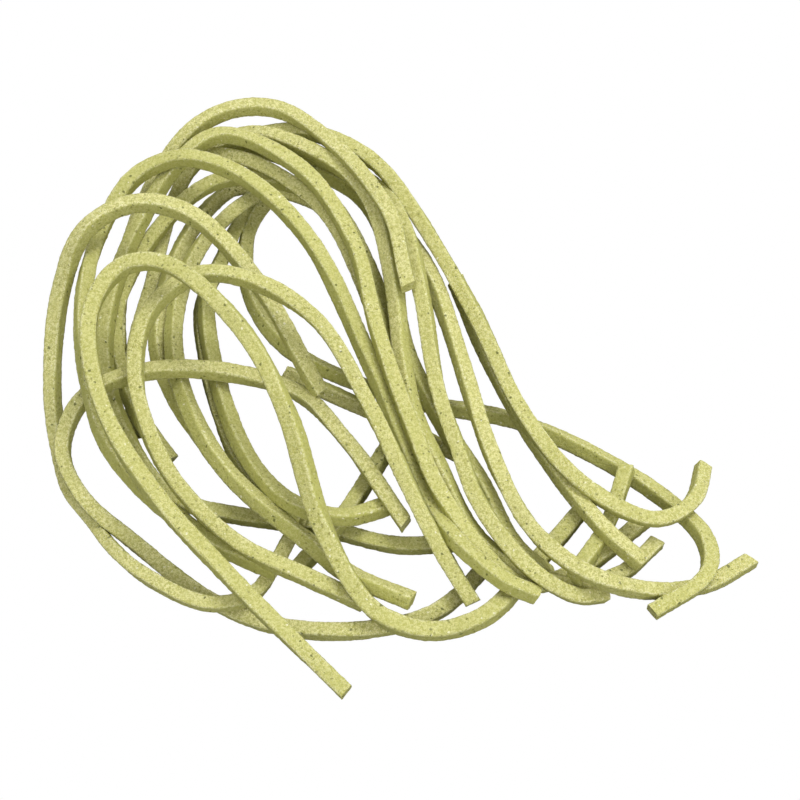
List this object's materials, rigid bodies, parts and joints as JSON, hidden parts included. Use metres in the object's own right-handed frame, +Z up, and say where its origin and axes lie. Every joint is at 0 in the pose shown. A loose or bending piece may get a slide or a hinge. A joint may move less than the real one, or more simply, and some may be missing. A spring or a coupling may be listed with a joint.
{
  "type": "dry pasta nest",
  "caption": "Loose tangled nest of long square-cut green dried pasta strands, heaped at one end and tapering to loose ends.",
  "frame": {"origin": "centre of the nest's box, at the table", "axes": "+Z up, +X along the nest's longest side towards its loose ends, +Y away from the viewer"},
  "size_m": [0.1232, 0.1153, 0.0307],
  "materials": {
    "green_pasta": "matt, floury dried dough"
  },
  "bodies": {
    "root": {"pasta_nest": "green_pasta"}
  },
  "joints": []
}
